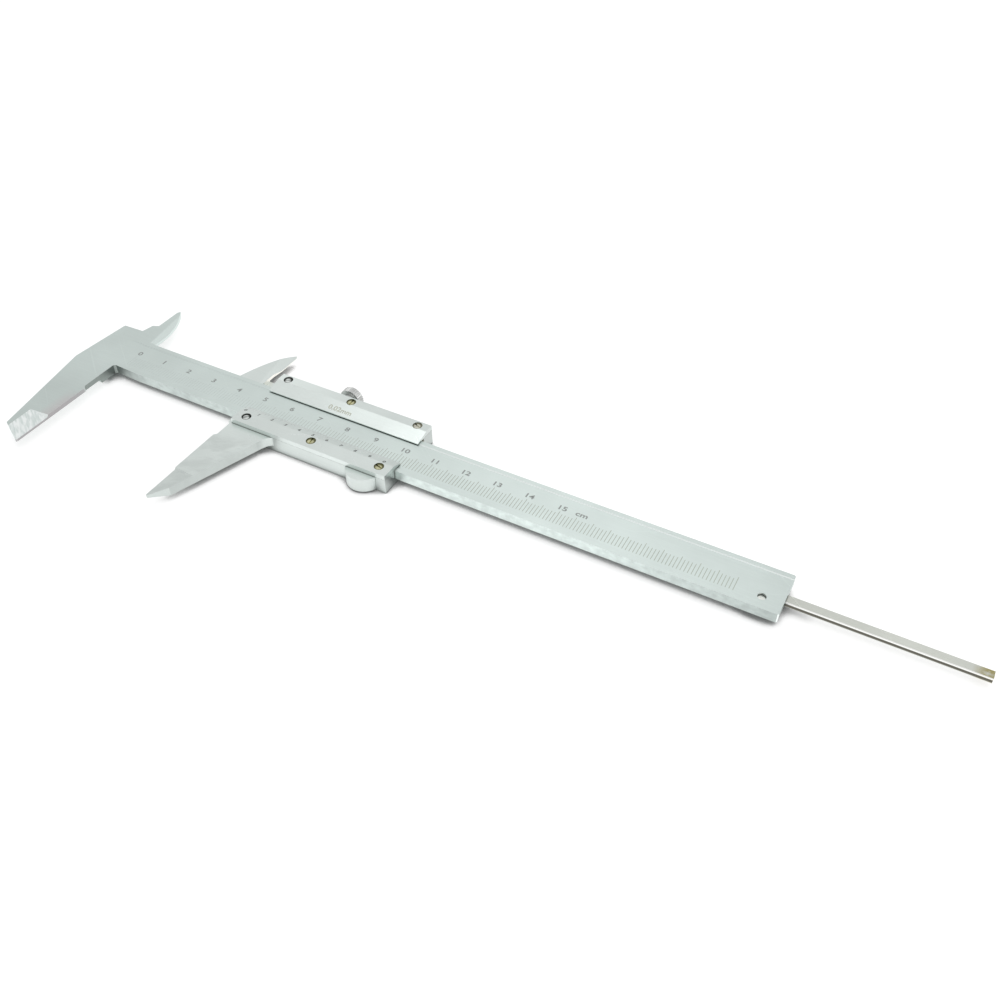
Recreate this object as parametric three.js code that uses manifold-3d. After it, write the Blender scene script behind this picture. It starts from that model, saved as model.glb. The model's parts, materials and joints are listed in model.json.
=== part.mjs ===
// A vernier caliper lying on its back: beam with fixed jaws, slider with moving jaws, depth rod.
// Drawn with X = 0 at the fixed outside measuring face, Y = 0 on the beam's centre line and
// Z = 0 on the table. The whole tool is then moved so that its bounding box is centred.
import * as THREE from "three";
import { mergeVertices } from "three/addons/utils/BufferGeometryUtils.js";
import Module from "manifold-3d";

const wasm = await Module();
wasm.setup();

// Driving dimensions, in millimetres.
const OPENING = 49.3; // distance between the outside measuring faces
const GAP = 0.05; // running clearance
const SEAT = 0.03; // clearance round a piece that is screwed in

const BEAM_WIDTH = 14.6;
const BEAM_HALF = BEAM_WIDTH / 2;
const BEAM_THICK = 3;
const BEAM_END = 214.9;
const END_CORNER = 0.3;
const BACK_WALL = 1.8;
const BEAM_BACK = BACK_WALL + 0.1;
const BEAM_FRONT = BEAM_BACK + BEAM_THICK;
const MID_PLANE = BEAM_BACK + BEAM_THICK / 2; // where the two inside blades pass each other
const SCALE_DROP = 0.2; // the graduated face lies this far below the guide lands
const SCALE_START = 1;
const SCALE_RUN_OUT = 8; // the graduated face rises to the lands over this length
const SCALE_HALF = 5.9; // half the width of the graduated face

const JAW_TIP = 47.7;
const JAW_STEP = -35.2; // where the thinner tip of an outside jaw begins
const TIP_DROP = 0.6;
const TIP_FADE = 6.7; // the thinner tip reaches full thickness this far from the measuring face
const TIP_TILT = Math.atan(TIP_DROP / TIP_FADE);
const FACE_BEVEL = 4; // width of the bevel behind a measuring face
const FACE_BEVEL_RISE = 1.7;
const FACE_RELIEF = 0.8; // the jaw is cut back this far between its measuring face and its root
const RELIEF_END = -19.5;
const KNIFE_X = -3.2; // inside measuring edge, from the outside measuring face beside it
const BLADE_TIP = 26.2;
const BLADE_UNDERCUT = 0.9; // the moving inside jaw is narrower at its root
const KNIFE_BEVEL = 2.4;
const KNIFE_LAND = 0.65;
const BLADE_SLOPE_TURN = THREE.MathUtils.degToRad(98); // direction of the ridge on an inside jaw
const FIXED_BLADE_FALL = 0.8; // drop of the sloped front over BLADE_SLOPE_WIDTH
const MOVING_BLADE_FALL = 0.35;
const BLADE_SLOPE_WIDTH = 3;

const SLIDER_LEFT = OPENING;
const SLIDER_RIGHT = 104.3;
const SLIDER_LOWER = -12.15;
const SLIDER_UPPER = 13.05;
const RAIL_TOP = BEAM_FRONT;
const LOWER_RAIL_INNER = -BEAM_HALF - GAP;
const UPPER_RAIL_INNER = BEAM_HALF + 1.1;
const UPPER_RAIL_LEFT = SLIDER_LEFT + 3.1;
const EAR_TOP = 12.3;
const EAR_BASE = 8.5; // the rounded side of the moving inside jaw ends here
const LOBE_CENTRE = [96.1, -10.25];
const LOBE_RADIUS = 5.4;
const LOBE_BOTTOM = 0.6;

const PLATE_BOTTOM = RAIL_TOP + GAP;
const PLATE_TOP = PLATE_BOTTOM + 1.5;
const UPPER_PLATE_LEFT = SLIDER_LEFT + 1.6;
const UPPER_PLATE_EDGE = 5.3;
const UPPER_PLATE_RIDGE = 9.95;
const VERNIER_LEFT = SLIDER_LEFT + 1.2;
const VERNIER_EDGE = -4.1;
const VERNIER_RIDGE = -7.45;
const PLATE_LIP = 0.3; // thickness left at the thin edge of either plate

const SCREW_PITCH = 23.3;
const SCREW_START = 54;
const UPPER_SCREW_Y = 11.17;
const LOWER_SCREW_Y = -9.23;
const SCREW_RADIUS = 0.7;
const SCREW_DEPTH = 3.2;
const SCREW_HEAD_RADIUS = 1.42;
const SCREW_HEAD_THICK = 0.75;
const SCREW_HEAD_DROP = 0.15;
const SLOT_WIDTH = 0.45;
const SLOT_DEPTH = 0.4;

const GIB_LEFT = UPPER_RAIL_LEFT + 0.6;
const GIB_THICK = 0.9;
const GIB_Y = BEAM_HALF + 0.1;
const SET_SCREWS = [62.5, 91.5];
const SET_SCREW_RADIUS = 1;
const LOCK_X = 74.2;
const LOCK_Z = 3.65;
const PAD_END = UPPER_RAIL_INNER + 1.2; // where the lock pad meets the lock screw
const STUD_RADIUS = 1.05;
const KNOB_RADIUS = 3.55;
const KNOB_FROM = 14.45;
const KNOB_TO = 16.75;
const KNOB_TEETH = 30;

const ROD_Y = 0;
const ROD_WIDTH = 2.7;
const ROD_THICK = 1.7;
const ROD_LEFT = 84;
const ROD_RIGHT = BEAM_END + OPENING;
const ROD_BACK = BEAM_BACK + GAP;
const GROOVE_LEFT = 32;
const RIVETS = [85.8, 89.4];

const STOP_LEFT = 206;
const STOP_RIGHT = 212.8;
const STOP_HALF = 5.4;
const STOP_SCREW = [209.4, -3.25];
const STOP_HOLE_RADIUS = 1.15;

const HEEL_X = -15; // the outermost corner of the fixed jaw
const CENTRE_X = (ROD_RIGHT + HEEL_X) / 2;
const CENTRE_Y = (BLADE_TIP - JAW_TIP) / 2;

// Geometry helpers.
function outline(points) {
  return new THREE.Shape(points.map(([a, b]) => new THREE.Vector2(a, b)));
}

function extrude(shape, length) {
  return new THREE.ExtrudeGeometry(shape, { depth: length, bevelEnabled: false, curveSegments: 16 });
}

// An X-Y outline, raised from one height to another.
function upright(shape, from, to) {
  return solid(extrude(shape, to - from).translate(0, 0, from));
}

// A Y-Z outline, drawn out along X.
function alongX(points, from, to) {
  const turn = new THREE.Matrix4().makeBasis(
    new THREE.Vector3(0, 1, 0),
    new THREE.Vector3(0, 0, 1),
    new THREE.Vector3(1, 0, 0),
  );
  return extrude(outline(points), to - from).applyMatrix4(turn).translate(from, 0, 0);
}

// A Z-X outline, drawn out along Y.
function alongY(points, from, to) {
  const turn = new THREE.Matrix4().makeBasis(
    new THREE.Vector3(0, 0, 1),
    new THREE.Vector3(1, 0, 0),
    new THREE.Vector3(0, 1, 0),
  );
  return extrude(outline(points), to - from).applyMatrix4(turn).translate(0, from, 0);
}

function box(low, high) {
  const size = high.map((value, i) => value - low[i]);
  const middle = high.map((value, i) => (value + low[i]) / 2);
  return solid(new THREE.BoxGeometry(...size).translate(...middle));
}

// A round bar along Z.
function barZ([x, y], radius, from, to, segments = 28) {
  const geometry = new THREE.CylinderGeometry(radius, radius, to - from, segments);
  return solid(geometry.rotateX(Math.PI / 2).translate(x, y, (from + to) / 2));
}

// A round bar along Y.
function barY([x, z], radius, from, to, segments = 28) {
  const geometry = new THREE.CylinderGeometry(radius, radius, to - from, segments);
  return solid(geometry.translate(x, (from + to) / 2, z));
}

// A countersunk head along Z, wide at the back.
function coneZ([x, y], wide, narrow, from, to, segments = 28) {
  const geometry = new THREE.CylinderGeometry(narrow, wide, to - from, segments);
  return solid(geometry.rotateX(Math.PI / 2).translate(x, y, (from + to) / 2));
}

function solid(geometry) {
  geometry.deleteAttribute("normal");
  geometry.deleteAttribute("uv");
  const merged = mergeVertices(geometry, 1e-4);
  const triVerts = new Uint32Array(merged.index.array);
  const vertProperties = merged.attributes.position.array;
  return new wasm.Manifold(new wasm.Mesh({ numProp: 3, vertProperties, triVerts }));
}

function material(color, roughness, metalness) {
  return new THREE.MeshStandardMaterial({ color, roughness, metalness });
}

const FINISHES = {
  satin: () => material(0xc3cbc8, 0.35, 1),
  bright: () => material(0xdde4e1, 0.3, 1),
  rod: () => material(0xc2c1b6, 0.4, 1),
  screw: () => material(0x4b4a3c, 0.35, 1),
  knob: () => material(0xaaa6a9, 0.4, 1),
  bronze: () => material(0x9a7b45, 0.45, 1),
};

function piece(name, body, finish) {
  const { vertProperties, triVerts } = body.getMesh();
  const geometry = new THREE.BufferGeometry();
  geometry.setAttribute("position", new THREE.BufferAttribute(vertProperties, 3));
  geometry.setIndex(new THREE.BufferAttribute(triVerts, 1));
  const flat = geometry.toNonIndexed();
  flat.computeVertexNormals();
  const mesh = new THREE.Mesh(flat, FINISHES[finish]());
  mesh.name = name;
  return mesh;
}

// The bevel on the back of an outside jaw, next to its measuring face.
// Side is +1 for a jaw that lies at larger X than its face, -1 for the other.
function faceBevel(faceX, side) {
  const wedge = alongY(
    [
      [BEAM_BACK - 1, faceX - side],
      [BEAM_BACK + FACE_BEVEL_RISE, faceX - side],
      [BEAM_BACK + FACE_BEVEL_RISE, faceX],
      [BEAM_BACK, faceX + side * FACE_BEVEL],
      [BEAM_BACK - 1, faceX + side * FACE_BEVEL],
    ],
    -JAW_TIP - 1,
    SLIDER_LOWER - 1,
  );
  return solid(wedge);
}

// The thinner tip of an outside jaw: a sloped step, then a face that tilts towards the edge.
function tipCut(faceX, side) {
  const profile = [
    [0, TIP_DROP + 1],
    [0, TIP_DROP],
    [-TIP_DROP, 0],
    [-20, 0],
    [-20, TIP_DROP + 1],
  ];
  const cut = alongX(profile, -12, 12);
  cut.rotateY(-side * TIP_TILT);
  return solid(cut.translate(faceX, JAW_STEP, BEAM_FRONT - TIP_DROP));
}

// The bevel behind an inside jaw, which leaves a narrow measuring land along its front.
function knifeBevel(edgeX, side, back, front) {
  const wedge = alongY(
    [
      [back - 0.1, edgeX - side],
      [front - KNIFE_LAND, edgeX - side],
      [front - KNIFE_LAND, edgeX],
      [back - 0.1, edgeX + side * KNIFE_BEVEL],
    ],
    BEAM_HALF + 5,
    BLADE_TIP + 1,
  );
  return solid(wedge);
}

// Makes the front of an inside jaw slope down on the right of a ridge that starts at a point.
function bladeSlope([x, y], top, fall) {
  const profile = [
    [0, 0],
    [-2 * BLADE_SLOPE_WIDTH, -2 * fall],
    [-2 * BLADE_SLOPE_WIDTH, 1],
    [0, 1],
  ];
  const cut = alongX(profile, 0, BLADE_TIP).rotateZ(BLADE_SLOPE_TURN);
  return solid(cut.translate(x, y, top));
}

function beam() {
  const shape = outline([
    [BEAM_END, BEAM_HALF - END_CORNER],
    [BEAM_END - END_CORNER, BEAM_HALF],
    [2.6, BEAM_HALF],
  ]);
  shape.bezierCurveTo(3.2, 15.5, 1, 21.5, KNIFE_X + 0.6, BLADE_TIP);
  shape.lineTo(KNIFE_X, BLADE_TIP - 1);
  shape.lineTo(KNIFE_X, 16.2);
  shape.lineTo(-5.1, 15.4);
  shape.lineTo(-5.9, 11.5);
  shape.lineTo(-13.3, 11.2);
  shape.lineTo(HEEL_X, -9.1);
  shape.lineTo(-8.2, -43.6);
  shape.lineTo(-0.4, -JAW_TIP);
  shape.lineTo(0, -JAW_TIP + 0.4);
  shape.lineTo(0, RELIEF_END - FACE_RELIEF);
  shape.lineTo(-FACE_RELIEF, RELIEF_END);
  shape.lineTo(-FACE_RELIEF, -7.4);
  shape.lineTo(-0.1, -6.9);
  shape.lineTo(9, -BEAM_HALF);
  shape.lineTo(BEAM_END - END_CORNER, -BEAM_HALF);
  shape.lineTo(BEAM_END, -BEAM_HALF + END_CORNER);

  const scaleCut = alongX(
    [
      [-SCALE_HALF, BEAM_FRONT],
      [-SCALE_HALF + SCALE_DROP, BEAM_FRONT - SCALE_DROP],
      [SCALE_HALF - SCALE_DROP, BEAM_FRONT - SCALE_DROP],
      [SCALE_HALF, BEAM_FRONT],
      [SCALE_HALF, BEAM_FRONT + 1],
      [-SCALE_HALF, BEAM_FRONT + 1],
    ],
    -20,
    BEAM_END + 1,
  );
  const scaleLength = alongY(
    [
      [BEAM_FRONT + 0.02, SCALE_START - SCALE_RUN_OUT],
      [BEAM_FRONT - SCALE_DROP, SCALE_START],
      [BEAM_FRONT - SCALE_DROP - 1, BEAM_END + 1],
      [BEAM_FRONT + 1, BEAM_END + 1],
      [BEAM_FRONT + 1, SCALE_START - SCALE_RUN_OUT],
    ],
    -10,
    10,
  );
  const behindBlade = box([-20, BEAM_HALF + GAP, 0], [8, 30, MID_PLANE + GAP]);
  const grooveHalf = ROD_WIDTH / 2 + GAP;
  const groove = box(
    [GROOVE_LEFT, ROD_Y - grooveHalf, 0],
    [BEAM_END + 1, ROD_Y + grooveHalf, ROD_BACK + ROD_THICK + GAP],
  );
  return upright(shape, BEAM_BACK, BEAM_FRONT)
    .subtract(solid(scaleCut).intersect(solid(scaleLength)))
    .subtract(behindBlade)
    .subtract(knifeBevel(KNIFE_X, 1, MID_PLANE, BEAM_FRONT))
    .subtract(bladeSlope([1.1, BEAM_HALF + 0.1], BEAM_FRONT, FIXED_BLADE_FALL))
    .subtract(faceBevel(0, -1))
    .subtract(tipCut(0, -1))
    .subtract(groove)
    .subtract(barZ(STOP_SCREW, STOP_HOLE_RADIUS, 0, 8));
}

function movingJaw() {
  const x = SLIDER_LEFT;
  const shape = outline([
    [x + FACE_RELIEF, -9],
    [x + FACE_RELIEF, RELIEF_END + 1.3],
    [x, RELIEF_END + 1.3 - FACE_RELIEF],
    [x, -JAW_TIP + 0.4],
    [x + 0.4, -JAW_TIP],
    [x + 4.1, -42.6],
    [x + 13.4, -16.2],
  ]);
  shape.quadraticCurveTo(x + 14.6, SLIDER_LOWER, x + 16.4, SLIDER_LOWER);
  shape.lineTo(x + 16.4, -9);
  return upright(shape, BEAM_BACK, RAIL_TOP);
}

function movingBlade() {
  const x = SLIDER_LEFT;
  const shape = outline([
    [x + KNIFE_X - BLADE_UNDERCUT, BEAM_HALF + GAP],
    [x + KNIFE_X - BLADE_UNDERCUT, 14.6],
    [x + KNIFE_X, 17.4],
    [x + KNIFE_X, BLADE_TIP - 1],
    [x + KNIFE_X - 0.6, BLADE_TIP],
  ]);
  shape.quadraticCurveTo(x - 9.2, 21, x - 13, EAR_BASE);
  shape.lineTo(x - 13, BEAM_HALF + GAP);
  const front = MID_PLANE - GAP;
  return upright(shape, BACK_WALL - 0.1, front)
    .subtract(knifeBevel(x + KNIFE_X, -1, BACK_WALL - 0.2, front))
    .subtract(bladeSlope([x - 5, BEAM_HALF + 0.2], front, MOVING_BLADE_FALL));
}

function sliderFrame() {
  const x = SLIDER_LEFT;
  const backWall = upright(
    outline([
      [x, SLIDER_LOWER],
      [SLIDER_RIGHT, SLIDER_LOWER],
      [SLIDER_RIGHT, SLIDER_UPPER],
      [UPPER_RAIL_LEFT, SLIDER_UPPER],
      [UPPER_RAIL_LEFT, EAR_TOP],
      [x - 11.9, EAR_TOP],
      [x - 13, EAR_BASE],
      [x - 9, 3],
      [x, 3],
    ]),
    0,
    BACK_WALL,
  );
  const lowerRail = box([x, SLIDER_LOWER, 0], [SLIDER_RIGHT, LOWER_RAIL_INNER, RAIL_TOP]);
  const upperRail = box(
    [UPPER_RAIL_LEFT, UPPER_RAIL_INNER, 0],
    [SLIDER_RIGHT, SLIDER_UPPER, RAIL_TOP],
  );
  const lobe = barZ(LOBE_CENTRE, LOBE_RADIUS, LOBE_BOTTOM, RAIL_TOP, 48).subtract(
    box([0, LOWER_RAIL_INNER - 1, -1], [200, 20, 20]),
  );
  let frame = backWall
    .add(lowerRail)
    .add(upperRail)
    .add(lobe)
    .add(movingJaw().subtract(faceBevel(x, 1)).subtract(tipCut(x, 1)))
    .add(movingBlade());
  for (const at of plateScrews()) {
    frame = frame.subtract(barZ(at, SCREW_RADIUS + SEAT, RAIL_TOP - SCREW_DEPTH - 0.2, 9));
  }
  for (const at of SET_SCREWS) {
    frame = frame.subtract(barY([at, MID_PLANE], SET_SCREW_RADIUS + SEAT, BEAM_HALF + 0.5, 20));
  }
  for (const at of RIVETS) {
    frame = frame.subtract(rivetHole([at, ROD_Y]));
  }
  return frame.subtract(barY([LOCK_X, LOCK_Z], STUD_RADIUS + GAP, BEAM_HALF + 0.5, 20));
}

function plateScrews() {
  return [UPPER_SCREW_Y, LOWER_SCREW_Y].flatMap((y) =>
    [0, 1, 2].map((i) => [SCREW_START + i * SCREW_PITCH, y]),
  );
}

// Cuts the stepped hole of a plate screw.
function screwHole(plate, at) {
  const headBottom = PLATE_TOP - SCREW_HEAD_DROP - SCREW_HEAD_THICK;
  return plate
    .subtract(barZ(at, SCREW_RADIUS + SEAT, 0, 9))
    .subtract(barZ(at, SCREW_HEAD_RADIUS + GAP, headBottom, 9));
}

function upperPlate() {
  const section = [
    [UPPER_PLATE_EDGE, PLATE_BOTTOM],
    [SLIDER_UPPER, PLATE_BOTTOM],
    [SLIDER_UPPER, PLATE_TOP],
    [UPPER_PLATE_RIDGE, PLATE_TOP],
    [UPPER_PLATE_EDGE, PLATE_BOTTOM + PLATE_LIP],
  ];
  const plate = solid(alongX(section, UPPER_PLATE_LEFT, SLIDER_RIGHT));
  return plateScrews().reduce(screwHole, plate);
}

function vernierPlate() {
  const section = [
    [SLIDER_LOWER, PLATE_BOTTOM],
    [VERNIER_EDGE, PLATE_BOTTOM],
    [VERNIER_EDGE, PLATE_BOTTOM + PLATE_LIP],
    [VERNIER_RIDGE, PLATE_TOP],
    [SLIDER_LOWER, PLATE_TOP],
  ];
  const plate = solid(alongX(section, VERNIER_LEFT, SLIDER_RIGHT));
  return plateScrews().reduce(screwHole, plate);
}

function plateScrew([x, y], slotTurn) {
  const headTop = PLATE_TOP - SCREW_HEAD_DROP;
  const slot = new THREE.BoxGeometry(4 * SCREW_HEAD_RADIUS, SLOT_WIDTH, 2 * SLOT_DEPTH);
  return barZ([x, y], SCREW_RADIUS, RAIL_TOP - SCREW_DEPTH, headTop - 0.1, 20)
    .add(barZ([x, y], SCREW_HEAD_RADIUS, headTop - SCREW_HEAD_THICK, headTop, 32))
    .subtract(solid(slot.rotateZ(slotTurn).translate(x, y, headTop)));
}

function gibStrip() {
  return box(
    [GIB_LEFT, GIB_Y, BEAM_BACK],
    [SLIDER_RIGHT - 0.4, GIB_Y + GIB_THICK, RAIL_TOP - GAP],
  );
}

function setScrew(x) {
  const end = SLIDER_UPPER - 0.1;
  const slot = box([x - 2, end - 0.5, MID_PLANE - 0.2], [x + 2, end + 1, MID_PLANE + 0.2]);
  return barY([x, MID_PLANE], SET_SCREW_RADIUS, UPPER_RAIL_INNER + 0.02, end, 20).subtract(slot);
}

function lockPad() {
  return barY([LOCK_X, LOCK_Z - 0.1], STUD_RADIUS - 0.1, UPPER_RAIL_INNER + 0.02, PAD_END, 20);
}

function lockStud() {
  return barY([LOCK_X, LOCK_Z], STUD_RADIUS, PAD_END + GAP, KNOB_TO - 0.6, 24);
}

// A knurled disc with a raised boss on the side of the rail.
function lockKnob() {
  const shape = new THREE.Shape();
  for (let i = 0; i < 2 * KNOB_TEETH; i += 1) {
    const radius = KNOB_RADIUS - (i % 2) * 0.25;
    const angle = (i * Math.PI) / KNOB_TEETH;
    const corner = [LOCK_Z + radius * Math.cos(angle), LOCK_X + radius * Math.sin(angle)];
    if (i === 0) {
      shape.moveTo(...corner);
    } else {
      shape.lineTo(...corner);
    }
  }
  const turn = new THREE.Matrix4().makeBasis(
    new THREE.Vector3(0, 0, 1),
    new THREE.Vector3(1, 0, 0),
    new THREE.Vector3(0, 1, 0),
  );
  const disc = extrude(shape, KNOB_TO - KNOB_FROM).applyMatrix4(turn).translate(0, KNOB_FROM, 0);
  return solid(disc)
    .add(barY([LOCK_X, LOCK_Z], 2.1, SLIDER_UPPER + 0.6, KNOB_FROM + 0.5))
    .subtract(barY([LOCK_X, LOCK_Z], STUD_RADIUS + SEAT, 0, 40, 24));
}

function depthRod() {
  const low = ROD_Y - ROD_WIDTH / 2;
  const high = ROD_Y + ROD_WIDTH / 2;
  const top = ROD_BACK + ROD_THICK;
  const section = [
    [low + 0.15, ROD_BACK],
    [high - 0.15, ROD_BACK],
    [high, ROD_BACK + 0.15],
    [high, top - 0.15],
    [high - 0.15, top],
    [low + 0.15, top],
    [low, top - 0.15],
    [low, top - 0.6],
    [low + 0.3, top - 0.95],
    [low, top - 1.3],
    [low, ROD_BACK + 0.15],
  ];
  const foot = box(
    [ROD_LEFT, low + 0.2, BACK_WALL + 0.005],
    [ROD_LEFT + 7.2, high - 0.2, ROD_BACK + 0.1],
  );
  let rod = solid(alongX(section, ROD_LEFT, ROD_RIGHT)).add(foot);
  for (const at of RIVETS) {
    rod = rod.subtract(barZ([at, ROD_Y], 0.7 + SEAT, 0, ROD_BACK + 1.3, 20));
  }
  return rod;
}

function rivetHole(at) {
  return barZ(at, 0.7 + SEAT, -1, 9, 20).add(coneZ(at, 1.4 + SEAT, 0.7 + SEAT, -0.001, 0.7));
}

function rodRivet(x) {
  const at = [x, ROD_Y];
  return barZ(at, 0.7, 0.05, ROD_BACK + 1.2, 20).add(coneZ(at, 1.35, 0.7, 0.03, 0.68, 20));
}

function endStop() {
  return box([STOP_LEFT, -STOP_HALF, 0], [STOP_RIGHT, STOP_HALF, BEAM_BACK - 0.01])
    .subtract(barZ(STOP_SCREW, 1 + SEAT, -1, 9))
    .subtract(coneZ(STOP_SCREW, 2.1 + SEAT, 1 + SEAT, -0.001, 1.1));
}

function endStopScrew() {
  const head = coneZ(STOP_SCREW, 2.05, 1, 0.05, 1.08);
  const slot = box(
    [STOP_SCREW[0] - 3, STOP_SCREW[1] - 0.25, -1],
    [STOP_SCREW[0] + 3, STOP_SCREW[1] + 0.25, 0.5],
  );
  return barZ(STOP_SCREW, 1, 0.3, BEAM_FRONT - 0.9, 24)
    .add(head)
    .add(barZ(STOP_SCREW, STOP_HOLE_RADIUS - SEAT, BEAM_BACK + 0.3, BEAM_FRONT - 1.1, 28))
    .subtract(slot);
}

const caliper = new THREE.Group();
caliper.position.set(-CENTRE_X, -CENTRE_Y, 0);
caliper.add(
  piece("beam", beam(), "satin"),
  piece("end_stop", endStop(), "satin"),
  piece("end_stop_screw", endStopScrew(), "screw"),
  piece("slider_frame", sliderFrame(), "bright"),
  piece("upper_plate", upperPlate(), "bright"),
  piece("vernier_plate", vernierPlate(), "satin"),
  piece("gib_strip", gibStrip(), "bronze"),
  piece("lock_pad", lockPad(), "bronze"),
  piece("lock_stud", lockStud(), "bright"),
  piece("lock_knob", lockKnob(), "knob"),
  piece("depth_rod", depthRod(), "rod"),
);
plateScrews().forEach((at, i) => {
  const row = i < 3 ? "upper" : "vernier";
  const slotTurn = 0.5 + 1.1 * i;
  caliper.add(piece(`${row}_screw_${(i % 3) + 1}`, plateScrew(at, slotTurn), "screw"));
});
SET_SCREWS.forEach((x, i) => {
  caliper.add(piece(`gib_set_screw_${i + 1}`, setScrew(x), "screw"));
});
RIVETS.forEach((x, i) => {
  caliper.add(piece(`rod_rivet_${i + 1}`, rodRivet(x), "rod"));
});

const group = new THREE.Group();
group.add(caliper);
export default group;
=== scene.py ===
import json
import math

import bmesh
import bpy
from mathutils import Matrix, Vector


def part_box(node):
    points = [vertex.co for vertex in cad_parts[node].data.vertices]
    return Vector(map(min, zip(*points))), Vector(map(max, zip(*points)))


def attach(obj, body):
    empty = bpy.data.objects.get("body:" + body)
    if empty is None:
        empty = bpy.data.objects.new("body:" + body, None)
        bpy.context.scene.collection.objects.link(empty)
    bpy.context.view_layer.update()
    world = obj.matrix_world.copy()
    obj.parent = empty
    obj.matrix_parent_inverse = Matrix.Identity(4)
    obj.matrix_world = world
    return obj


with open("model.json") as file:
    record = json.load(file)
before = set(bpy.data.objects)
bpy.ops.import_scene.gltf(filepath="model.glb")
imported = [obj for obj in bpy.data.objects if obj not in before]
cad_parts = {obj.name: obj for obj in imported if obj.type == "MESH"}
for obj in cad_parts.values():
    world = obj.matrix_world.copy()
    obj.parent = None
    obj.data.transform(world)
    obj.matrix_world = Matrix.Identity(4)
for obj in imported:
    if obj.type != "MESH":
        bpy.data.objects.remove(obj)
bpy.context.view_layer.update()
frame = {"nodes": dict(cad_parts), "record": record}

MM = 0.001

# Places that come from the frame.
NODES = frame["nodes"]
MOUNTS = {mount["name"]: mount for mount in frame["record"]["mounts"]}
FIXED_FACE = MOUNTS["outside_fixed_face"]["pos_m"][0]
MOVING_FACE = MOUNTS["outside_moving_face"]["pos_m"][0]
ROD_TIP = MOUNTS["depth_rod_tip"]["pos_m"][0]
BEAM_END = MOUNTS["beam_end"]["pos_m"][0]
CENTRE_Y = (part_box("end_stop")[0][1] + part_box("end_stop")[1][1]) / 2
BEAM_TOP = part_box("beam")[1][2]
JAW_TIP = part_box("beam")[0][1]
ROD_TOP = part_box("depth_rod")[1][2]
PLATE_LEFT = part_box("upper_plate")[0][0]
PLATE_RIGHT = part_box("upper_plate")[1][0]

# The beam's scale. Both zero lines stand this far from the outside measuring faces.
ZERO_OFFSET = 2.3 * MM
SCALE_Z = BEAM_TOP - 0.2 * MM
BEAM_DIVISIONS = 200
BEAM_PITCH = 1 * MM
BEAM_LINE_START = CENTRE_Y - 4.65 * MM
BEAM_LINE_LENGTHS = {"short": 4.0 * MM, "long": 4.8 * MM}
LONG_EVERY = 5
NUMBER_EVERY = 10
LAST_NUMBER = 15
NUMBER_Y = CENTRE_Y + 1.55 * MM
NUMBER_HEIGHT = 1.7 * MM
NUMBER_STRETCH = 1.3
UNIT_GAP = 5.8 * MM  # from the last number to the unit

# The vernier's scale, on the sloping front of its plate.
PLATE_LIP = 0.3 * MM
VERNIER_SLOPE_WIDTH = 3.35 * MM
VERNIER_DIVISIONS = 50
VERNIER_PITCH = 0.98 * MM
VERNIER_LINE_START = 0.05 * MM
VERNIER_LINE_ENDS = {"short": 1.35 * MM, "long": 1.75 * MM}
VERNIER_NUMBER_BACK = 2.55 * MM
VERNIER_NUMBER_HEIGHT = 1.25 * MM

# The resolution, written on the sloping front of the upper plate.
UPPER_SLOPE_WIDTH = 4.65 * MM
READING_X = MOVING_FACE + 26.7 * MM
READING_BACK = 1.75 * MM
READING_HEIGHT = 1.65 * MM
READING_STRETCH = 1.12

LINE_WIDTH = 0.15 * MM
INK_LIFT = 0.012 * MM
CAP_HEIGHT = 0.73  # height of a capital letter of the built-in font at size 1
BOLD = 0.02  # how far a letter's strokes are thickened, as a part of its size

# Fine rounded edges.
FRAME_EDGE = 0.1 * MM
PLATE_EDGE = 0.06 * MM
EDGE_SEGMENTS = 2
EDGE_ANGLE = math.radians(30)

# Colours, linear.
BEAM_STEEL = (0.66, 0.735, 0.71)
SLIDER_STEEL = (0.76, 0.82, 0.795)
PLATE_STEEL = (0.77, 0.83, 0.805)
ROD_STEEL = (0.65, 0.67, 0.62)
KNOB_STEEL = (0.66, 0.67, 0.66)
STOP_STEEL = (0.7, 0.72, 0.68)
BRONZE = (0.5, 0.36, 0.16)
# Painted shade round each screw's rim.
SCREW_RIM_SHADE = {
    "dark": (0.035, 0.04, 0.035),
    "olive": (0.13, 0.13, 0.06),
    "pale": (0.2, 0.2, 0.14),
}
SCREW_HEADS = {
    "dark": (0.8, 0.84, 0.82),
    "olive": (0.66, 0.65, 0.42),
    "pale": (0.76, 0.76, 0.66),
}
SCREW_TONES = {
    "upper_screw_1": "dark",
    "upper_screw_2": "olive",
    "upper_screw_3": "pale",
    "vernier_screw_1": "dark",
    "vernier_screw_2": "olive",
    "vernier_screw_3": "olive",
}
# Painted shade for corners and creases, where little air is open.
CORNER_SHADE = (0.08, 0.085, 0.075)
BROWN_TINT = (0.62, 0.58, 0.585)
TIP_GROUND = (0.74, 0.81, 0.79)
TIP_SCORED = (0.96, 1.0, 0.99)
# Painted glint on the front bevels.
BEVEL_GLINT = (0.95, 1.0, 0.985)
ROOT_DARK = (0.22, 0.25, 0.235)
# Painted shade on the jaw's measuring face and end.
FACE_SHADE = (0.34, 0.32, 0.33)
# Painted highlight on the inside jaw's edge.
BLADE_HIGHLIGHT = (0.97, 0.95, 0.89)
STAIN_BROWN = (0.36, 0.32, 0.14)
# Painted highlight on the rod's ridge, and painted shade in its groove.
RIDGE_HIGHLIGHT = (1.0, 1.0, 0.98)
GROOVE_SHADE = (0.2, 0.19, 0.16)
INK = (0.04, 0.045, 0.04)
NUMBER_INK = (0.26, 0.28, 0.27)
FAINT_INK = (0.52, 0.54, 0.45)
THIN_INK = (0.3, 0.32, 0.3)
LINE_INK = (0.33, 0.36, 0.29)
VERNIER_LINE = (0.93, 0.96, 0.95)
VERNIER_LINE_INK = (0.5, 0.53, 0.52)
TABLE = (0.45, 0.45, 0.45)
WHITE = (1.0, 1.0, 1.0, 1.0)

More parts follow.
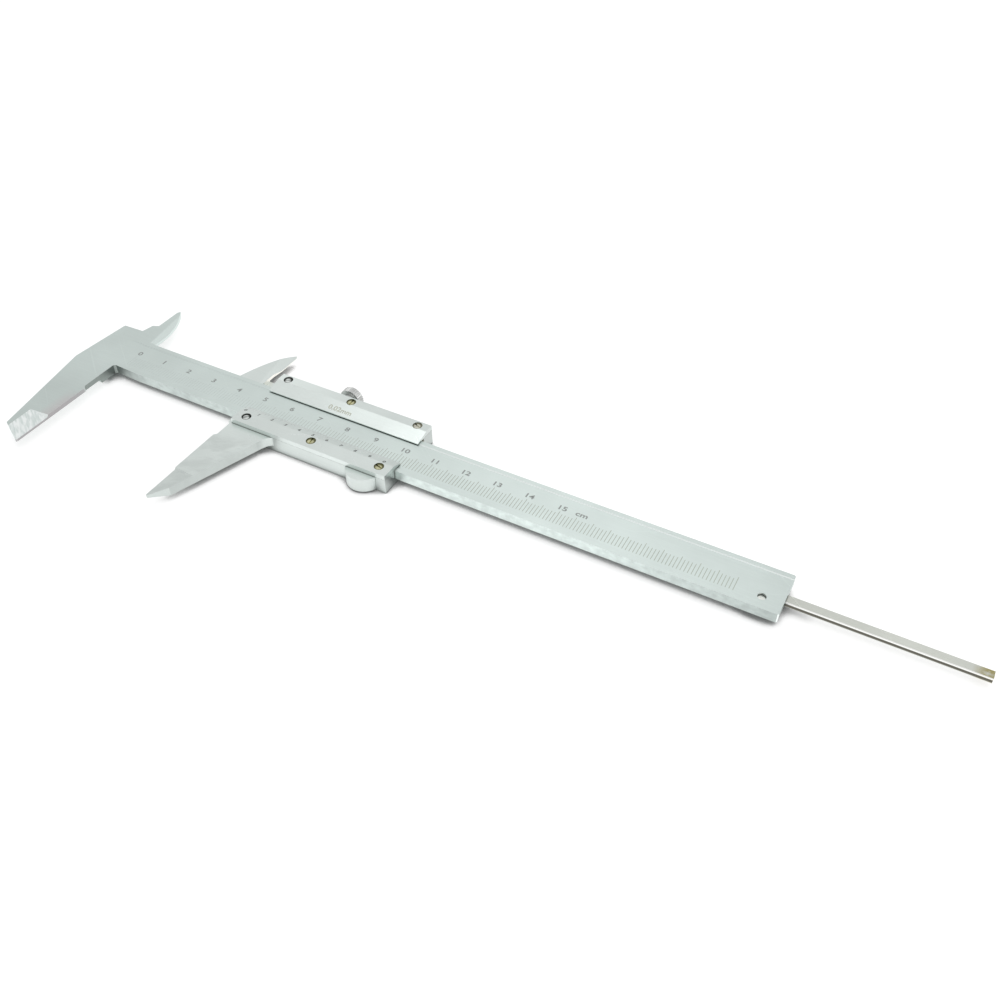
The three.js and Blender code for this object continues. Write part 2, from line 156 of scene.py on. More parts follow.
# Textures: features per metre along X, Y and Z, and how far some are turned about Z.
GRAIN_ACROSS = 5200
GRAIN_ALONG = 90
CLOUDS = (70, 70, 70)
RISING_SCRATCHES = (25, 2600, 900)
RISING_TURN = math.radians(38)
FALLING_SCRATCHES = (30, 2300, 900)
FALLING_TURN = math.radians(-24)
TIP_SCORES = (260, 1500, 500)
TIP_SCORES_TURN = math.radians(35)
SIDE_MOTTLE = (500, 500, 700)
JAW_RUBBING = (170, 420, 300)
JAW_RUBBING_TURN = math.radians(-30)
ROD_BLOTCHES = (400, 400, 400)
SCREW_PATCHES = (900, 900, 900)
SCREW_PITS = (4000, 4000, 4000)
INK_PATCHES = (700, 700, 700)
PAINT_PATCHES = (500, 500, 500)
TABLE_GRAIN = (15, 15, 15)
RELIEF = 0.01 * MM  # the depth of the grain and the pits

# Zones where a finish changes: the axis, where the change begins and where it is complete.
# Painted shade over the beam's top.
JAW_SHADING = ("Y", CENTRE_Y - 25 * MM, CENTRE_Y - 4 * MM)
LEFT_SHADING = ("X", FIXED_FACE + 5 * MM, FIXED_FACE + 45 * MM)
RIGHT_SHADING = ("X", FIXED_FACE + 150 * MM, BEAM_END)
TINT_TOWARDS_FACE = ("X", FIXED_FACE - 4 * MM, FIXED_FACE - 1 * MM)
TINT_STOPS = ("X", FIXED_FACE + 1 * MM, FIXED_FACE + 0.5 * MM)
TINT_TOWARDS_TIP = ("Y", CENTRE_Y - 22 * MM, CENTRE_Y - 27 * MM)
BEVEL_GLINT_ZONE = ("X", FIXED_FACE + 55 * MM, FIXED_FACE + 110 * MM)
JAW_BEVEL_GLINT_ZONE = ("Y", CENTRE_Y - 25 * MM, CENTRE_Y - 30 * MM)
FRONT_HALF = ("Y", CENTRE_Y - 5 * MM, CENTRE_Y - 6 * MM)
# Painted shade along the beam's narrow front side.
SIDE_SHADE_RISING = ("X", FIXED_FACE + 30 * MM, FIXED_FACE + 110 * MM)
SIDE_SHADE_FALLING = ("X", FIXED_FACE + 165 * MM, BEAM_END)
ROOT_BELOW_BEAM = ("Y", CENTRE_Y - 6.5 * MM, CENTRE_Y - 7 * MM)
ROOT_FROM_RELIEF = ("X", FIXED_FACE - 1.3 * MM, FIXED_FACE - 1.1 * MM)
ROOT_TO_CORNER = ("X", FIXED_FACE + 14 * MM, FIXED_FACE)
ROOT_ABOVE_FACE = ("Y", CENTRE_Y - 20.4 * MM, CENTRE_Y - 19.6 * MM)
MEASURING_FACE = ("Y", CENTRE_Y - 20 * MM, CENTRE_Y - 21 * MM)
JAW_TIP_END = ("Y", JAW_TIP + 0.6 * MM, JAW_TIP + 0.3 * MM)
MOVING_JAW = ("Y", CENTRE_Y - 14 * MM, CENTRE_Y - 20 * MM)
# Painted shade on the slider, darker towards the outside jaw's tip.
MOVING_JAW_SHADING = ("Y", CENTRE_Y - 24 * MM, CENTRE_Y - 15 * MM)
BLADE_ABOVE = ("Y", CENTRE_Y + 9 * MM, CENTRE_Y + 10 * MM)
BLADE_LEFT = ("X", MOVING_FACE - 1 * MM, MOVING_FACE - 2 * MM)
# Painted sheen on the upper plate.
PLATE_FLAT_SHEEN = ("X", PLATE_LEFT, PLATE_LEFT + 30 * MM)
PLATE_SLOPE_SHEEN = ("X", PLATE_LEFT + 20 * MM, PLATE_RIGHT)
ROD_TONE = ("X", BEAM_END, BEAM_END + 30 * MM)
ROD_STAIN = ("X", ROD_TIP - 5 * MM, ROD_TIP - 1.5 * MM)
ROD_RIDGE = ("Z", ROD_TOP - 0.5 * MM, ROD_TOP - 0.4 * MM)
ROD_GROOVE_FLOOR = ("Z", ROD_TOP - 1.45 * MM, ROD_TOP - 1.3 * MM)
ROD_GROOVE_TOP = ("Z", ROD_TOP - 0.5 * MM, ROD_TOP - 0.6 * MM)
LINES_FADE = ("X", FIXED_FACE + 45 * MM, FIXED_FACE + 120 * MM)
# Places where the table's painted shadow is lifted.
SHADOW_LIFTED_BY_JAW_X = ("X", FIXED_FACE + 12 * MM, FIXED_FACE + 6 * MM)
SHADOW_LIFTED_BY_JAW_Y = ("Y", CENTRE_Y - 9 * MM, CENTRE_Y - 12 * MM)
SHADOW_LIFTED_BY_ROD = ("X", BEAM_END + 1 * MM, BEAM_END + 8 * MM)

# Ways that a surface can face: an axis, and how far the surface's normal reaches along it
# where the change begins and where it is complete.
RIGHT = ("X", 0.9, 0.97)
FRONT = ("Y", -0.9, -0.97)
NOT_FRONT = ("Y", -0.97, -0.9)
LEANING_FRONT = ("Y", -0.3, -0.5)
LEANING_RIGHT = ("X", 0.05, 0.07)
NEARLY_UP = ("Z", 0.97, 0.98)
STANDING = ("Z", 0.5, 0.2)
BELOW_BEVEL = ("Z", 0.4, 0.2)
BLADE_EDGE = ("X", 0.15, 0.3)
PLATE_FLAT = ("Z", 0.98, 0.995)

# A screw's worn middle, in parts of its width: its centre, and the squares of two radii; outside
# it, the rim carries painted shade.
MIDDLE_X = 0.5
MIDDLE_Y = 0.42
MIDDLE_LIMITS = (0.15, 0.08)

# Open air over a surface, as a part of all the air within reach: the first limit is where a
# corner's painted shade begins, or where the table's painted shadow is darkest.
AIR_SAMPLES = 8
CORNER_SHADE_LIMITS = (0.8, 0.45)
SHADOW_LIMITS = (0.5, 0.69)
SHADOW_REACH = 3.5 * MM

# Stage. The table glows, except in the caliper's painted shadow, where its glow is cut.
TABLE_HALF = 3.0
TABLE_GLOW = 0.65
SKY_STRENGTH = 0.76
LAMP_AT = (0.1, 0.1, 0.75)
LAMP_SIZE = (1.0, 0.7)
LAMP_POWER = 2.0

CAMERA_AT = (107.3 * MM, -169.9 * MM, 195.7 * MM)
CAMERA_TARGET = (11.5 * MM, 6.9 * MM, 5.0 * MM)
CAMERA_ROLL = math.radians(-0.06)
CAMERA_LENS = 36.76
CAMERA_SENSOR = 36
CAMERA_CLIP = 10 * MM


# Node materials.
def shade(colour, factor):
    """A darker or lighter version of a colour."""
    return tuple(min(factor * c, 1.0) for c in colour)


class Finish:
    """A material under construction: each method adds nodes and returns their output."""

    def __init__(self, name, metallic=0.0, roughness=0.5):
        self.material = bpy.data.materials.new(name)
        self.material.use_nodes = True
        self.tree = self.material.node_tree
        self.surface = self.tree.nodes["Principled BSDF"]
        self.surface.inputs["Metallic"].default_value = metallic
        self.surface.inputs["Roughness"].default_value = roughness
        coords = self.tree.nodes.new("ShaderNodeTexCoord")
        self.place = coords.outputs["Object"]
        self.generated = coords.outputs["Generated"]
        self.normal = coords.outputs["Normal"]

    def add(self, kind, inputs, **settings):
        """A node. Each input is linked to an output, or set to a value."""
        node = self.tree.nodes.new(kind)
        for key, value in settings.items():
            setattr(node, key, value)
        for key, value in inputs.items():
            if isinstance(value, bpy.types.NodeSocket):
                self.tree.links.new(value, node.inputs[key])
            else:
                node.inputs[key].default_value = value
        return node

    def link(self, name, output):
        self.tree.links.new(output, self.surface.inputs[name])

    def stretched(self, scale, turn=0.0):
        """Coordinates for a texture whose features per metre along X, Y and Z are scale."""
        inputs = {"Vector": self.place, "Rotation": (0, 0, turn)}
        turned = self.add("ShaderNodeMapping", inputs, vector_type="POINT").outputs[0]
        inputs = {"Vector": turned, "Scale": scale}
        return self.add("ShaderNodeMapping", inputs, vector_type="POINT").outputs[0]

    def noise(self, scale, detail=3.0, turn=0.0):
        """A cloudy value of about a half, which can be stretched into lines."""
        inputs = {"Vector": self.stretched(scale, turn), "Scale": 1.0, "Detail": detail}
        return self.add("ShaderNodeTexNoise", inputs).outputs["Fac"]

    def between(self, value, low, high, to_low=0.0, to_high=1.0):
        """Maps low..high of a value to to_low..to_high, held at the ends."""
        inputs = {
            "Value": value,
            "From Min": low,
            "From Max": high,
            "To Min": to_low,
            "To Max": to_high,
        }
        return self.add("ShaderNodeMapRange", inputs).outputs[0]

    def axis(self, vector, name):
        return self.add("ShaderNodeSeparateXYZ", {0: vector}).outputs[name]

    def along(self, name, low, high, to_low=0.0, to_high=1.0):
        """A value that runs from to_low to to_high between two places on an axis."""
        return self.between(self.axis(self.place, name), low, high, to_low, to_high)

    def facing(self, name, low, high, to_low=0.0, to_high=1.0):
        """A value that runs from to_low to to_high as the normal turns along an axis."""
        return self.between(self.axis(self.normal, name), low, high, to_low, to_high)

    def air(self, reach):
        """How much of the air within reach of the surface is open."""
        inputs = {"Distance": reach}
        return self.add("ShaderNodeAmbientOcclusion", inputs, samples=AIR_SAMPLES).outputs["AO"]

    def math(self, operation, a, b):
        return self.add("ShaderNodeMath", {0: a, 1: b}, operation=operation).outputs[0]

    def product(self, first, *others):
        result = first
        for factor in others:
            result = self.math("MULTIPLY", result, factor)
        return result

    def mix(self, factor, a, b):
        """Colour a where the factor is 0, and b where it is 1."""

        def colour(value):
            return value if isinstance(value, bpy.types.NodeSocket) else (*value, 1.0)

        node = self.add("ShaderNodeMix", {0: factor, 6: colour(a), 7: colour(b)}, data_type="RGBA")
        return node.outputs[2]

    def mix_values(self, factor, a, b):
        return self.add("ShaderNodeMix", {0: factor, 2: a, 3: b}).outputs[0]

    def scaled(self, colour, factor):
        inputs = {0: colour, "Scale": factor}
        return self.add("ShaderNodeVectorMath", inputs, operation="SCALE").outputs[0]

    def bump(self, height, depth):
        inputs = {"Height": height, "Distance": depth, "Strength": 1.0}
        self.link("Normal", self.add("ShaderNodeBump", inputs).outputs[0])


def hairlines(finish):
    """Fine scratches that run two ways."""
    rising = finish.noise(RISING_SCRATCHES, detail=1.0, turn=RISING_TURN)
    falling = finish.noise(FALLING_SCRATCHES, detail=1.0, turn=FALLING_TURN)
    return finish.math(
        "MAXIMUM",
        finish.between(rising, 0.70, 0.76),
        finish.between(falling, 0.71, 0.77),
    )


def ground_steel(name, colour, roughness, wear, grain="X"):
    """Ground and satin-finished steel: fine grain, cloudy patches, hairline scratches."""
    finish = Finish(name, metallic=1.0)
    grain_scale = [GRAIN_ACROSS, GRAIN_ACROSS, GRAIN_ACROSS]
    grain_scale["XYZ".index(grain)] = GRAIN_ALONG
    grain_lines = finish.noise(grain_scale, detail=2.0)
    clouds = finish.noise(CLOUDS, detail=4.0)
    hairs = hairlines(finish)

    cloudy = finish.mix(
        finish.between(clouds, 0.35, 0.7), shade(colour, 0.955), shade(colour, 1.02)
    )
    grained = finish.mix(
        finish.between(grain_lines, 0.3, 0.7, 0.0, 0.12), cloudy, shade(colour, 0.75)
    )
    finish.worn = finish.mix(finish.product(hairs, 0.35 * wear), grained, shade(colour, 1.25))
    finish.link("Base Color", finish.worn)
    rough = finish.between(grain_lines, 0.2, 0.8, roughness - 0.04, roughness + 0.05)
    finish.link("Roughness", finish.math("ADD", rough, finish.product(hairs, -0.06)))
    finish.bump(finish.math("ADD", grain_lines, finish.product(hairs, -0.6)), RELIEF)
    return finish


def grimed(finish, colour, reach, amount):
    """Adds painted shade in corners, where little air is open, and sets the surface's colour."""
    in_corner = finish.between(finish.air(reach), *CORNER_SHADE_LIMITS)
    finish.link("Base Color", finish.mix(finish.product(in_corner, amount), colour, CORNER_SHADE))


def dull_ends(finish, colour):
    """Painted shade: the sawn ends that face +X are darker than the ground sides."""
    return finish.scaled(colour, finish.between(finish.facing(*RIGHT), 0.0, 1.0, 1.0, 0.76))


def beam_tone(finish, colour):
    """Painted shade: darker towards the jaw's tip and towards both ends of the beam."""
    jaw = finish.along(*JAW_SHADING, 0.94, 1.05)
    left = finish.along(*LEFT_SHADING, 1.01, 1.07)
    right = finish.along(*RIGHT_SHADING, 1.0, 0.76)
    return finish.scaled(colour, finish.product(jaw, left, right))


def brown_strip(finish, colour):
    """A brown tint on the jaw, beside its measuring face."""
    strip = finish.product(
        finish.along(*TINT_TOWARDS_FACE),
        finish.along(*TINT_TOWARDS_TIP),
        finish.along(*TINT_STOPS),
    )
    return finish.mix(finish.product(strip, 0.55), colour, BROWN_TINT)


def scored_tip(finish, colour):
    """The jaw is thinned near its tip by a slope that falls gently to the right, and scored."""
    scores = finish.noise(TIP_SCORES, detail=2.0, turn=TIP_SCORES_TURN)
    tip = finish.mix(finish.between(scores, 0.4, 0.62), TIP_GROUND, TIP_SCORED)
    sloping = finish.product(finish.facing(*LEANING_RIGHT), finish.facing(*NEARLY_UP))
    return finish.mix(sloping, colour, tip)


def rubbed_bevel(finish, colour):
    """The front bevels carry a painted glint on the open part of the beam and near the jaw's tip.
    """
    bevel = finish.product(finish.facing(*LEANING_FRONT), finish.facing(*NOT_FRONT))
    marked = finish.math("MAXIMUM", finish.along(*BEVEL_GLINT_ZONE), finish.along(*JAW_BEVEL_GLINT_ZONE))
    return finish.mix(finish.product(bevel, marked), colour, BEVEL_GLINT)


def mottled_side(finish, colour):
    """The narrow front side is mottled, and carries painted shade along its length: brightest in
    the middle, darker towards both ends.
    """
    mottle = finish.noise(SIDE_MOTTLE, detail=4.0)
    tone = finish.product(
        finish.along(*SIDE_SHADE_RISING, 0.86, 1.12),
        finish.along(*SIDE_SHADE_FALLING, 1.02, 0.68),
        finish.between(mottle, 0.35, 0.65, 0.9, 1.08),
    )
    side = finish.product(finish.facing(*FRONT), finish.along(*FRONT_HALF))
    return finish.mix(side, colour, finish.scaled(finish.worn, tone))


def dull_root(finish, colour):
    """The relieved sides in the corner between jaw and beam are darker."""
    root = finish.product(
        finish.along(*ROOT_BELOW_BEAM),
        finish.along(*ROOT_FROM_RELIEF),
        finish.along(*ROOT_TO_CORNER),
        finish.along(*ROOT_ABOVE_FACE),
        finish.facing(*STANDING),
    )
    return finish.mix(finish.product(root, 0.85), colour, ROOT_DARK)


def lapped_face(finish, colour):
    """The measuring face, which is lapped, and the jaw's end carry painted shade, to look dark."""
    face = finish.product(finish.facing(*RIGHT), finish.along(*MEASURING_FACE))
    end = finish.product(finish.along(*JAW_TIP_END), finish.facing(*STANDING))
    return finish.mix(finish.product(finish.math("MAXIMUM", face, end), 0.75), colour, FACE_SHADE)


def beam_finish():
    """The beam: ground steel with each of the changes above, in turn."""
    finish = ground_steel("beam_steel", BEAM_STEEL, roughness=0.36, wear=0.5)
    colour = finish.worn
    for change in (
        beam_tone,
        brown_strip,
        scored_tip,
        rubbed_bevel,
        mottled_side,
        dull_root,
        lapped_face,
    ):
        colour = change(finish, colour)
    grimed(finish, colour, reach=1.2 * MM, amount=0.6)
    return finish.material


def rubbed_jaw(finish, colour):
    """Blotchy diagonal rubbing marks on the slider's outside jaw."""
    marked = finish.noise(JAW_RUBBING, detail=4.0, turn=JAW_RUBBING_TURN)
    marks = finish.product(finish.along(*MOVING_JAW), finish.between(marked, 0.42, 0.62))
    return finish.mix(finish.product(marks, 0.45), colour, shade(SLIDER_STEEL, 0.76))


def slider_finish():
    """The slider: painted shade on its standing sides, its ends and towards the outside jaw's tip,
    an outside jaw with rubbing marks, and an inside jaw with a painted highlight on its edge and
    no painted corner shade.
    """
    finish = ground_steel("slider_steel", SLIDER_STEEL, roughness=0.34, wear=0.8)
    jaw = finish.along(*MOVING_JAW_SHADING, 0.98, 1.06)
    sides = finish.facing(*BELOW_BEVEL, 1.0, 0.88)
    toned = finish.scaled(finish.worn, finish.product(jaw, sides))
    end_shaded = dull_ends(finish, rubbed_jaw(finish, toned))
    blade = finish.product(finish.along(*BLADE_ABOVE), finish.along(*BLADE_LEFT))
    edge = finish.product(blade, finish.facing(*BLADE_EDGE))
    bright = finish.mix(edge, end_shaded, BLADE_HIGHLIGHT)
    grimed(finish, bright, reach=0.8 * MM, amount=finish.math("SUBTRACT", 0.75, blade))
    return finish.material


def vernier_plate_finish():
    finish = ground_steel("vernier_plate_steel", PLATE_STEEL, roughness=0.33, wear=1.2)
    grimed(finish, dull_ends(finish, finish.worn), reach=0.5 * MM, amount=0.7)
    return finish.material


def upper_plate_finish():
    """The upper plate carries a painted sheen: its flat is brighter at the left, and its slope at
    the right.
    """
    finish = ground_steel("upper_plate_steel", PLATE_STEEL, roughness=0.33, wear=1.2)
    flat_sheen = finish.along(*PLATE_FLAT_SHEEN, 1.22, 1.0)
    slope_sheen = finish.along(*PLATE_SLOPE_SHEEN, 1.0, 1.1)
    tone = finish.mix_values(finish.facing(*PLATE_FLAT), slope_sheen, flat_sheen)
    toned = finish.scaled(finish.worn, tone)
    grimed(finish, dull_ends(finish, toned), reach=0.5 * MM, amount=0.7)
    return finish.material


def rod_finish():
    """Drawn rod, warm grey: a stained tip, a painted highlight along its ridge and painted shade
    in the groove below it.
    """
    finish = ground_steel("rod_steel", ROD_STEEL, roughness=0.3, wear=0.4)
    toned = finish.scaled(finish.worn, finish.along(*ROD_TONE, 0.75, 1.0))
    blotches = finish.between(finish.noise(ROD_BLOTCHES), 0.3, 0.5)
    stain = finish.product(finish.along(*ROD_STAIN), blotches)
    stained = finish.mix(stain, toned, STAIN_BROWN)
    side = finish.facing(*LEANING_FRONT)
    ridge = finish.product(side, finish.along(*ROD_RIDGE))
    ridged = finish.mix(ridge, stained, RIDGE_HIGHLIGHT)
    groove = finish.product(side, finish.along(*ROD_GROOVE_FLOOR), finish.along(*ROD_GROOVE_TOP))
    grooved = finish.mix(groove, ridged, GROOVE_SHADE)
    grimed(finish, grooved, reach=0.8 * MM, amount=0.5)
    return finish.material


def plain_finish(name, colour, roughness, grain):
    """Ground metal without marks of its own."""
    finish = ground_steel(name, colour, roughness, wear=0.4, grain=grain)
    grimed(finish, finish.worn, reach=0.4 * MM, amount=0.6)
    return finish.material


def screw_finish(tone):
    """Screw with painted shade at its rim, most of all above, and patchy and worn in the middle.
    """
    finish = Finish("screw_" + tone, metallic=1.0, roughness=0.34)
    across = finish.math("SUBTRACT", finish.axis(finish.generated, "X"), MIDDLE_X)
    up = finish.math("SUBTRACT", finish.axis(finish.generated, "Y"), MIDDLE_Y)
    squared = finish.math("ADD", finish.product(across, across), finish.product(up, up))
    middle = finish.between(squared, *MIDDLE_LIMITS)
    patches = finish.between(finish.noise(SCREW_PATCHES), 0.35, 0.6)
    worn = finish.mix(patches, shade(SCREW_HEADS[tone], 0.6), SCREW_HEADS[tone])
    finish.link("Base Color", finish.mix(middle, SCREW_RIM_SHADE[tone], worn))
    finish.bump(finish.noise(SCREW_PITS), RELIEF)
    return finish.material


def ink_finish(name, colour):
    """Paint left in the engraved marks, thin in places."""
    finish = Finish(name, roughness=0.7)
    thin = finish.between(finish.noise(INK_PATCHES), 0.4, 0.75, 0.0, 0.4)
    finish.link("Base Color", finish.mix(thin, colour, THIN_INK))
    return finish.material


def line_finish():
    """The beam's graduations, which fade into the steel towards the jaws."""
    finish = Finish("line_ink", metallic=0.5, roughness=0.5)
    worn = finish.along(*LINES_FADE, 0.98, 0.1)
    finish.link("Base Color", finish.mix(worn, LINE_INK, BEAM_STEEL))
    return finish.material


def bright_line_finish():
    """The vernier's graduations, with hardly any paint left in them."""
    finish = Finish("bright_line", metallic=0.6, roughness=0.4)
    left_over = finish.between(finish.noise(PAINT_PATCHES), 0.45, 0.65)
    finish.link("Base Color", finish.mix(left_over, VERNIER_LINE, VERNIER_LINE_INK))
    return finish.material


# Pieces.
def add_object(name, data):
    thing = bpy.data.objects.new(name, data)
    bpy.context.scene.collection.objects.link(thing)
    return thing


def dress(node, material, edge=0.0):
    """Gives a CAD node its finish and, with edge, a fine rounded edge."""
    piece = NODES[node]
    piece.data.materials.clear()
    piece.data.materials.append(material)
    if edge:
        rounding = piece.modifiers.new("edge", "BEVEL")
        rounding.width = edge
        rounding.segments = EDGE_SEGMENTS
        rounding.limit_method = "ANGLE"
        rounding.angle_limit = EDGE_ANGLE
        rounding.use_clamp_overlap = False


def new_piece(name, mesh, body, material):
    """A visible piece that the CAD hasn't got, which moves with a body."""
    mesh.materials.append(material)
    piece = add_object(name, mesh)
    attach(piece, body)


def strip_mesh(name, strips):
    """One mesh of flat four-cornered strips."""
    shape = bmesh.new()
    for corners in strips:
        shape.faces.new([shape.verts.new(corner) for corner in corners])
    mesh = bpy.data.meshes.new(name)
    shape.to_mesh(mesh)
    shape.free()
    return mesh


def lettering(name, labels):
    """One mesh of words and numbers. Each label is its text, its height and the matrix that
    lays it on its surface, centred."""
    shape = bmesh.new()
    for text, height, place in labels:
        curve = bpy.data.curves.new(name, "FONT")
        curve.body = text
        curve.size = height / CAP_HEIGHT
        curve.align_x = "CENTER"
        curve.align_y = "CENTER"
        curve.offset = BOLD * curve.size
        holder = bpy.data.objects.new(name, curve)
        mesh = bpy.data.meshes.new_from_object(holder)
        mesh.transform(place)
        shape.from_mesh(mesh)
        bpy.data.objects.remove(holder)
        bpy.data.curves.remove(curve)
        bpy.data.meshes.remove(mesh)
    mesh = bpy.data.meshes.new(name)
    shape.to_mesh(mesh)
    shape.free()
    return mesh


class Slope:
    """A plate's sloping front. Its thin edge is at Y = edge, and it rises towards +Y or -Y,
    which towards says with 1 or -1."""

    def __init__(self, node, edge, towards, width):
        low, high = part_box(node)
        self.edge = edge
        self.towards = towards
        self.base = low[2] + PLATE_LIP
        self.rise = (high[2] - self.base) / width

    def point(self, x, back):
        """The point at x, and this far back from the thin edge."""
        on_slope = Vector((x, self.edge + self.towards * back, self.base + self.rise * back))
        return on_slope + self.out() * INK_LIFT

    def out(self):
        """The direction that the slope faces."""
        return Vector((0, -self.towards * self.rise, 1)).normalized()

    def place(self, x, back):
        """A matrix that lays a label on the slope."""
        tilt = math.atan(self.towards * self.rise)
        return Matrix.Translation(self.point(x, back)) @ Matrix.Rotation(tilt, 4, "X")


VERNIER_SLOPE = Slope("vernier_plate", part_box("vernier_plate")[1][1], -1, VERNIER_SLOPE_WIDTH)
UPPER_SLOPE = Slope("upper_plate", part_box("upper_plate")[0][1], 1, UPPER_SLOPE_WIDTH)


def beam_x(division):
    """Where a line of the beam's scale stands."""
    return FIXED_FACE + ZERO_OFFSET + division * BEAM_PITCH


def vernier_x(division):
    """Where a line of the vernier stands."""
    return MOVING_FACE + ZERO_OFFSET + division * VERNIER_PITCH


def long_or_short(lengths, division):
    """The size of a line, of which every fifth is a long one."""
    return lengths["long" if division % LONG_EVERY == 0 else "short"]


def beam_lines():
    strips = []
    for i in range(BEAM_DIVISIONS + 1):
        left = beam_x(i) - LINE_WIDTH / 2
        right = beam_x(i) + LINE_WIDTH / 2
        low = BEAM_LINE_START
        high = low + long_or_short(BEAM_LINE_LENGTHS, i)
        z = SCALE_Z + INK_LIFT
        strips.append([(left, low, z), (right, low, z), (right, high, z), (left, high, z)])
    return strip_mesh("beam_graduations", strips)


def vernier_lines():
    strips = []
    for i in range(VERNIER_DIVISIONS + 1):
        left = vernier_x(i) - LINE_WIDTH / 2
        right = vernier_x(i) + LINE_WIDTH / 2
        end = long_or_short(VERNIER_LINE_ENDS, i)
        strips.append(
            [
                VERNIER_SLOPE.point(left, end),
                VERNIER_SLOPE.point(right, end),
                VERNIER_SLOPE.point(right, VERNIER_LINE_START),
                VERNIER_SLOPE.point(left, VERNIER_LINE_START),
            ]
        )
    return strip_mesh("vernier_graduations", strips)


def stretch(factor):
    return Matrix.Diagonal((factor, 1, 1, 1))


def on_beam(x):
    """A matrix that lays a wide label in the beam's row of numbers."""
    return Matrix.Translation((x, NUMBER_Y, SCALE_Z + INK_LIFT)) @ stretch(NUMBER_STRETCH)


def beam_numbers():
    labels = []
    for i in range(LAST_NUMBER + 1):
        labels.append((str(i), NUMBER_HEIGHT, on_beam(beam_x(i * NUMBER_EVERY))))
    unit_x = beam_x(LAST_NUMBER * NUMBER_EVERY) + UNIT_GAP
    labels.append(("cm", NUMBER_HEIGHT, on_beam(unit_x)))
    return lettering("beam_numbers", labels)


def vernier_numbers():
    """Every long line has a number, from 0 through 9 and back to 0."""
    labels = []
    for i in range(VERNIER_DIVISIONS // LONG_EVERY + 1):
        place = VERNIER_SLOPE.place(vernier_x(i * LONG_EVERY), VERNIER_NUMBER_BACK)
        labels.append((str(i % 10), VERNIER_NUMBER_HEIGHT, place))
    return lettering("vernier_numbers", labels)


def reading_mark():
    place = UPPER_SLOPE.place(READING_X, READING_BACK) @ stretch(READING_STRETCH)
    return lettering("reading_mark", [("0.02mm", READING_HEIGHT, place)])


# Stage.
def table_finish():
    """A pale floor that glows, with a painted soft narrow shadow where little air is open, and
    none beside the fixed jaw and the rod.
    """
    finish = Finish("table", roughness=0.9)
    grain = finish.noise(TABLE_GRAIN, detail=2.0)
    finish.link("Base Color", finish.mix(grain, TABLE, shade(TABLE, 0.99)))
    finish.surface.inputs["Emission Color"].default_value = WHITE
    # Painted shadow: the glow is cut where little air is open, except beside the fixed jaw and the
    # rod.
    lifted_by_jaw = finish.product(finish.along(*SHADOW_LIFTED_BY_JAW_X), finish.along(*SHADOW_LIFTED_BY_JAW_Y))
    clear = finish.math("MAXIMUM", lifted_by_jaw, finish.along(*SHADOW_LIFTED_BY_ROD))
    open_air = finish.between(finish.air(SHADOW_REACH), *SHADOW_LIMITS)
    lit = finish.math("MAXIMUM", open_air, clear)
    finish.link("Emission Strength", finish.product(lit, TABLE_GLOW))
    return finish.material


def table():
    half = TABLE_HALF
    corners = [(-half, -half, 0), (half, -half, 0), (half, half, 0), (-half, half, 0)]
    mesh = strip_mesh("table", [corners])
    mesh.materials.append(table_finish())
    top = add_object("table", mesh)


def lamp():
    """A wide soft lamp overhead, which looks at the origin."""
    light = bpy.data.lights.new("overhead", "AREA")
    light.shape = "RECTANGLE"
    light.size, light.size_y = LAMP_SIZE
    light.energy = LAMP_POWER
    holder = add_object("overhead", light)
    holder.location = LAMP_AT
    holder.rotation_euler = (-Vector(LAMP_AT)).to_track_quat("-Z", "Y").to_euler()


def sky():
    """Even white light from all round."""
    world = bpy.data.worlds.new("studio")
    world.use_nodes = True
    background = world.node_tree.nodes["Background"]
    background.inputs["Color"].default_value = WHITE
    background.inputs["Strength"].default_value = SKY_STRENGTH
    bpy.context.scene.world = world


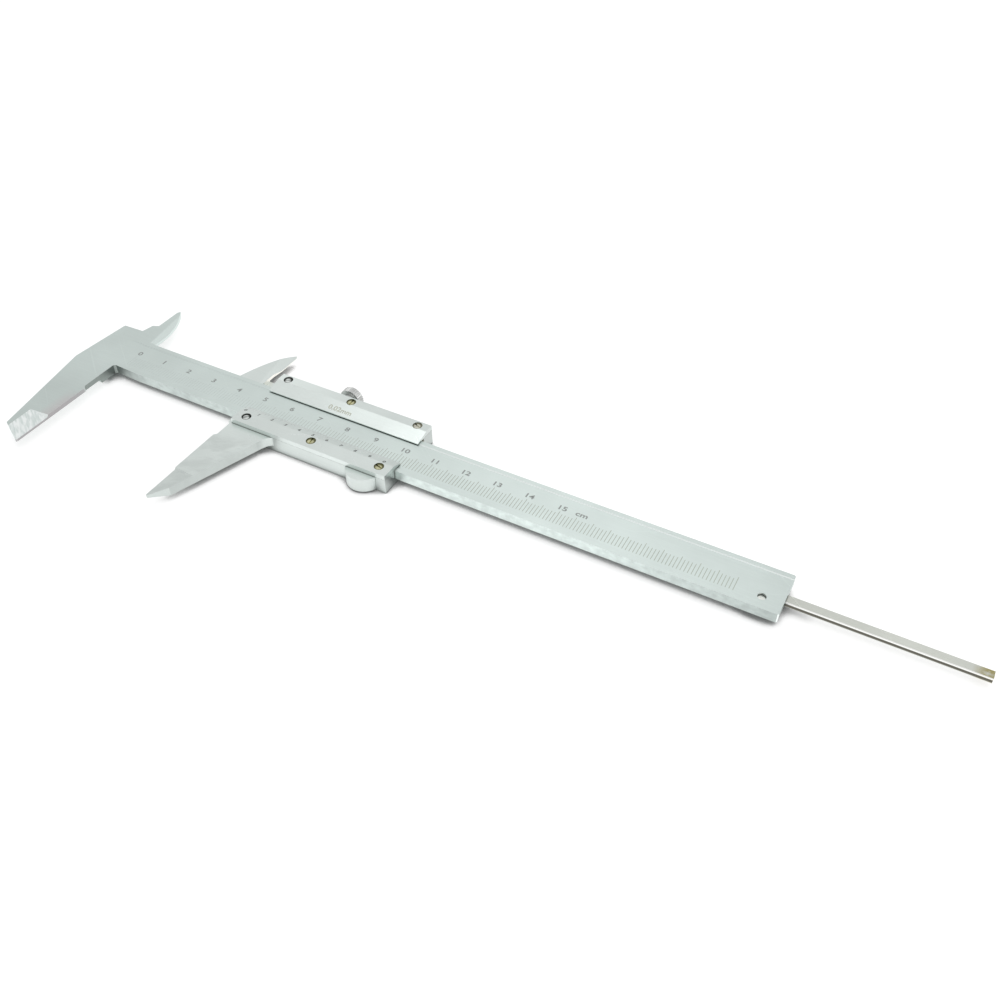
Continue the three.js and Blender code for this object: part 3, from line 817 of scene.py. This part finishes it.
def camera():
    data = bpy.data.cameras.new("camera")
    data.lens = CAMERA_LENS
    data.sensor_width = CAMERA_SENSOR
    data.clip_start = CAMERA_CLIP
    view = add_object("camera", data)
    aim = Vector(CAMERA_TARGET) - Vector(CAMERA_AT)
    turn = aim.to_track_quat("-Z", "Y").to_matrix().to_4x4()
    view.matrix_world = (
        Matrix.Translation(CAMERA_AT) @ turn @ Matrix.Rotation(CAMERA_ROLL, 4, "Z")
    )
    bpy.context.scene.camera = view
    bpy.context.scene.view_settings.view_transform = "Standard"


def dress_nodes():
    beam_steel = beam_finish()
    slider_steel = slider_finish()
    rod_steel = rod_finish()
    knob_steel = plain_finish("knob_steel", KNOB_STEEL, roughness=0.32, grain="Y")
    stop_steel = plain_finish("stop_steel", STOP_STEEL, roughness=0.3, grain="X")
    bronze = plain_finish("bronze", BRONZE, roughness=0.38, grain="X")
    screws = {tone: screw_finish(tone) for tone in SCREW_HEADS}

    dress("beam", beam_steel, FRAME_EDGE)
    dress("end_stop", beam_steel, FRAME_EDGE)
    dress("end_stop_screw", stop_steel)
    dress("slider_frame", slider_steel, FRAME_EDGE)
    dress("upper_plate", upper_plate_finish(), PLATE_EDGE)
    dress("vernier_plate", vernier_plate_finish(), PLATE_EDGE)
    dress("depth_rod", rod_steel)
    dress("rod_rivet_1", rod_steel)
    dress("rod_rivet_2", rod_steel)
    dress("lock_knob", knob_steel)
    dress("lock_stud", knob_steel)
    dress("lock_pad", bronze)
    dress("gib_strip", bronze)
    dress("gib_set_screw_1", screws["dark"])
    dress("gib_set_screw_2", screws["dark"])
    for node, tone in SCREW_TONES.items():
        dress(node, screws[tone])


def add_marks():
    ink = ink_finish("ink", INK)
    number_ink = ink_finish("number_ink", NUMBER_INK)
    faint_ink = ink_finish("faint_ink", FAINT_INK)

    new_piece("beam_graduations", beam_lines(), "beam_body", line_finish())
    new_piece("beam_numbers", beam_numbers(), "beam_body", number_ink)
    new_piece(
        "vernier_graduations", vernier_lines(), "slider_body", bright_line_finish()
    )
    new_piece("vernier_numbers", vernier_numbers(), "slider_body", ink)
    new_piece("reading_mark", reading_mark(), "slider_body", faint_ink)


dress_nodes()
add_marks()
table()
sky()
lamp()
camera()
